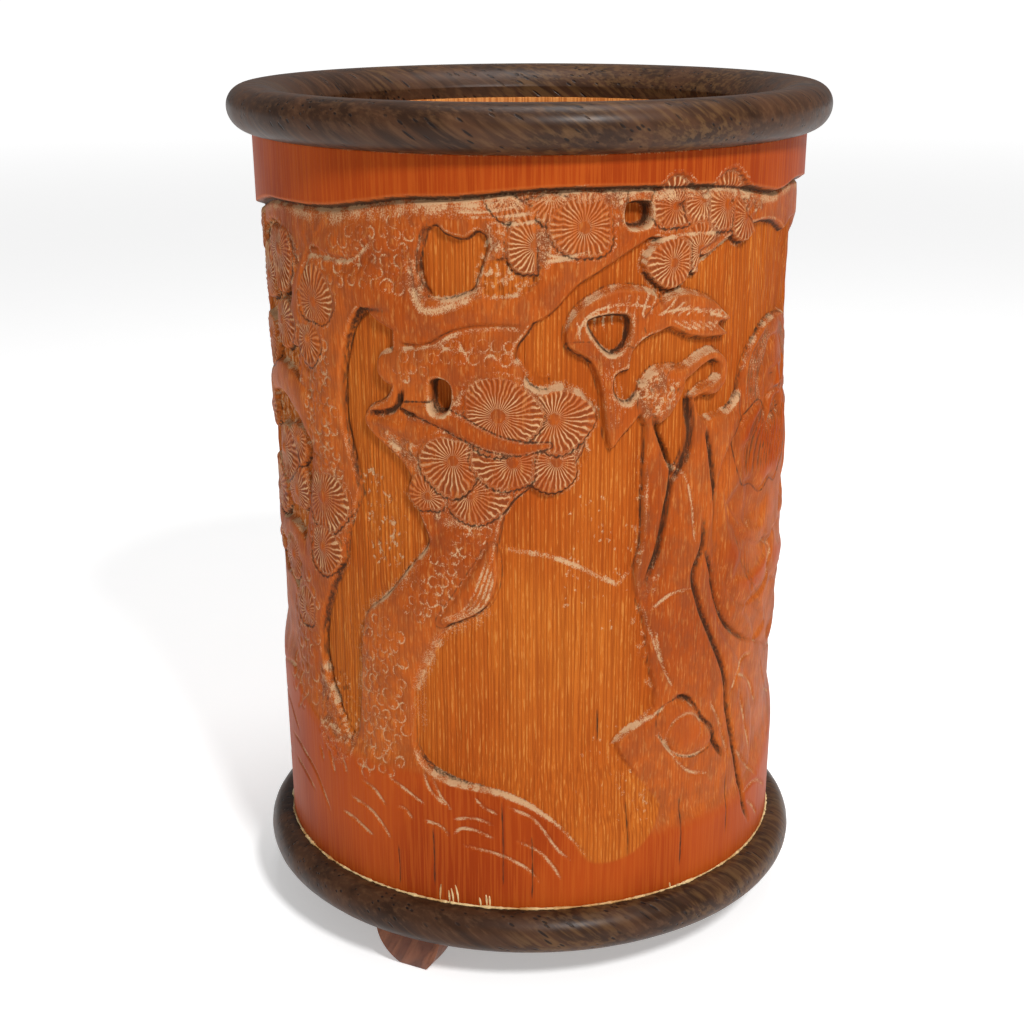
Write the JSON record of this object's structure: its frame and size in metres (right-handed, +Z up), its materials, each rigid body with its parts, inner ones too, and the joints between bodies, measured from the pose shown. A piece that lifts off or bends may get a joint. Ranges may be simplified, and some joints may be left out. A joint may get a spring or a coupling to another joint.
{
  "type": "brush pot",
  "caption": "Carved bamboo brush holder with turned hardwood rim and base mouldings on low bracket feet.",
  "frame": {"origin": "on the pot's axis, at the level of the soles of the feet", "axes": "+Z up along the pot's axis and out of its mouth, -Y towards the carved side with the crane"},
  "size_m": [0.1304, 0.1304, 0.188],
  "materials": {
    "dark_hardwood": "dark brown close-grained hardwood, waxed to a satin polish, with open pores",
    "carved_bamboo": "orange to red-brown aged bamboo, carved in relief, fine vertical fibres, pale dust in the cuts",
    "board_wood": "plain planed hardwood board, oiled",
    "foot_wood": "red-brown hardwood, lightly polished",
    "glue": "dried cream to amber glue, uneven, semi-gloss",
    "peg_bamboo": "split bamboo peg, raw"
  },
  "bodies": {
    "root": {"rim_moulding": "dark_hardwood", "base_moulding": "dark_hardwood", "floor_board": "board_wood", "bamboo_body": "carved_bamboo", "glue_bead": "glue", "foot_front_left": "foot_wood", "foot_right": "foot_wood", "foot_back_left": "foot_wood", "peg_front_left": "peg_bamboo", "peg_right": "peg_bamboo", "peg_back_left": "peg_bamboo"}
  },
  "joints": []
}
